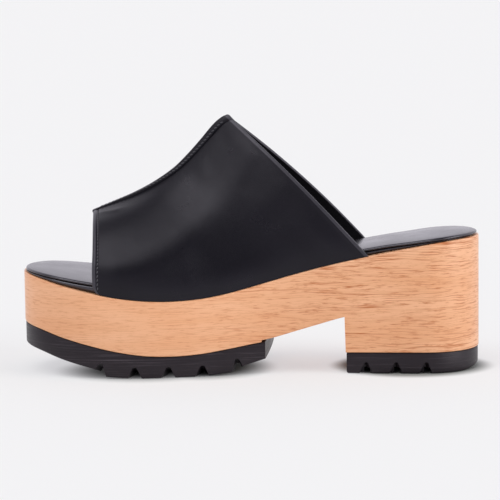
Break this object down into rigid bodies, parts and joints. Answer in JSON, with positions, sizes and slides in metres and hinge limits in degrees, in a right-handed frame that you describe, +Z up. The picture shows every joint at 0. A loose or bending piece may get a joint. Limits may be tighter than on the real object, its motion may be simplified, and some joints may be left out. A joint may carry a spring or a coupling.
{
  "type": "platform clog",
  "caption": "Open-toe platform clog for the right foot: wood platform with block heel, lugged rubber soles, padded insole and one seamed black leather band.",
  "frame": {"origin": "centre of the shoe's footprint, on the ground", "axes": "+X from the toe to the heel, -Y the inner side of the foot, +Z up"},
  "size_m": [0.254, 0.0944, 0.141],
  "materials": {
    "wood": "satin",
    "rubber": "matte",
    "upper_leather": "satin",
    "insole_leather": "satin",
    "board_leather": "satin"
  },
  "bodies": {
    "root": {"forefoot_outsole": "rubber", "heel_lift": "rubber", "platform_midsole": "wood", "footbed_board": "board_leather", "insole": "insole_leather", "upper": "upper_leather"}
  },
  "joints": []
}
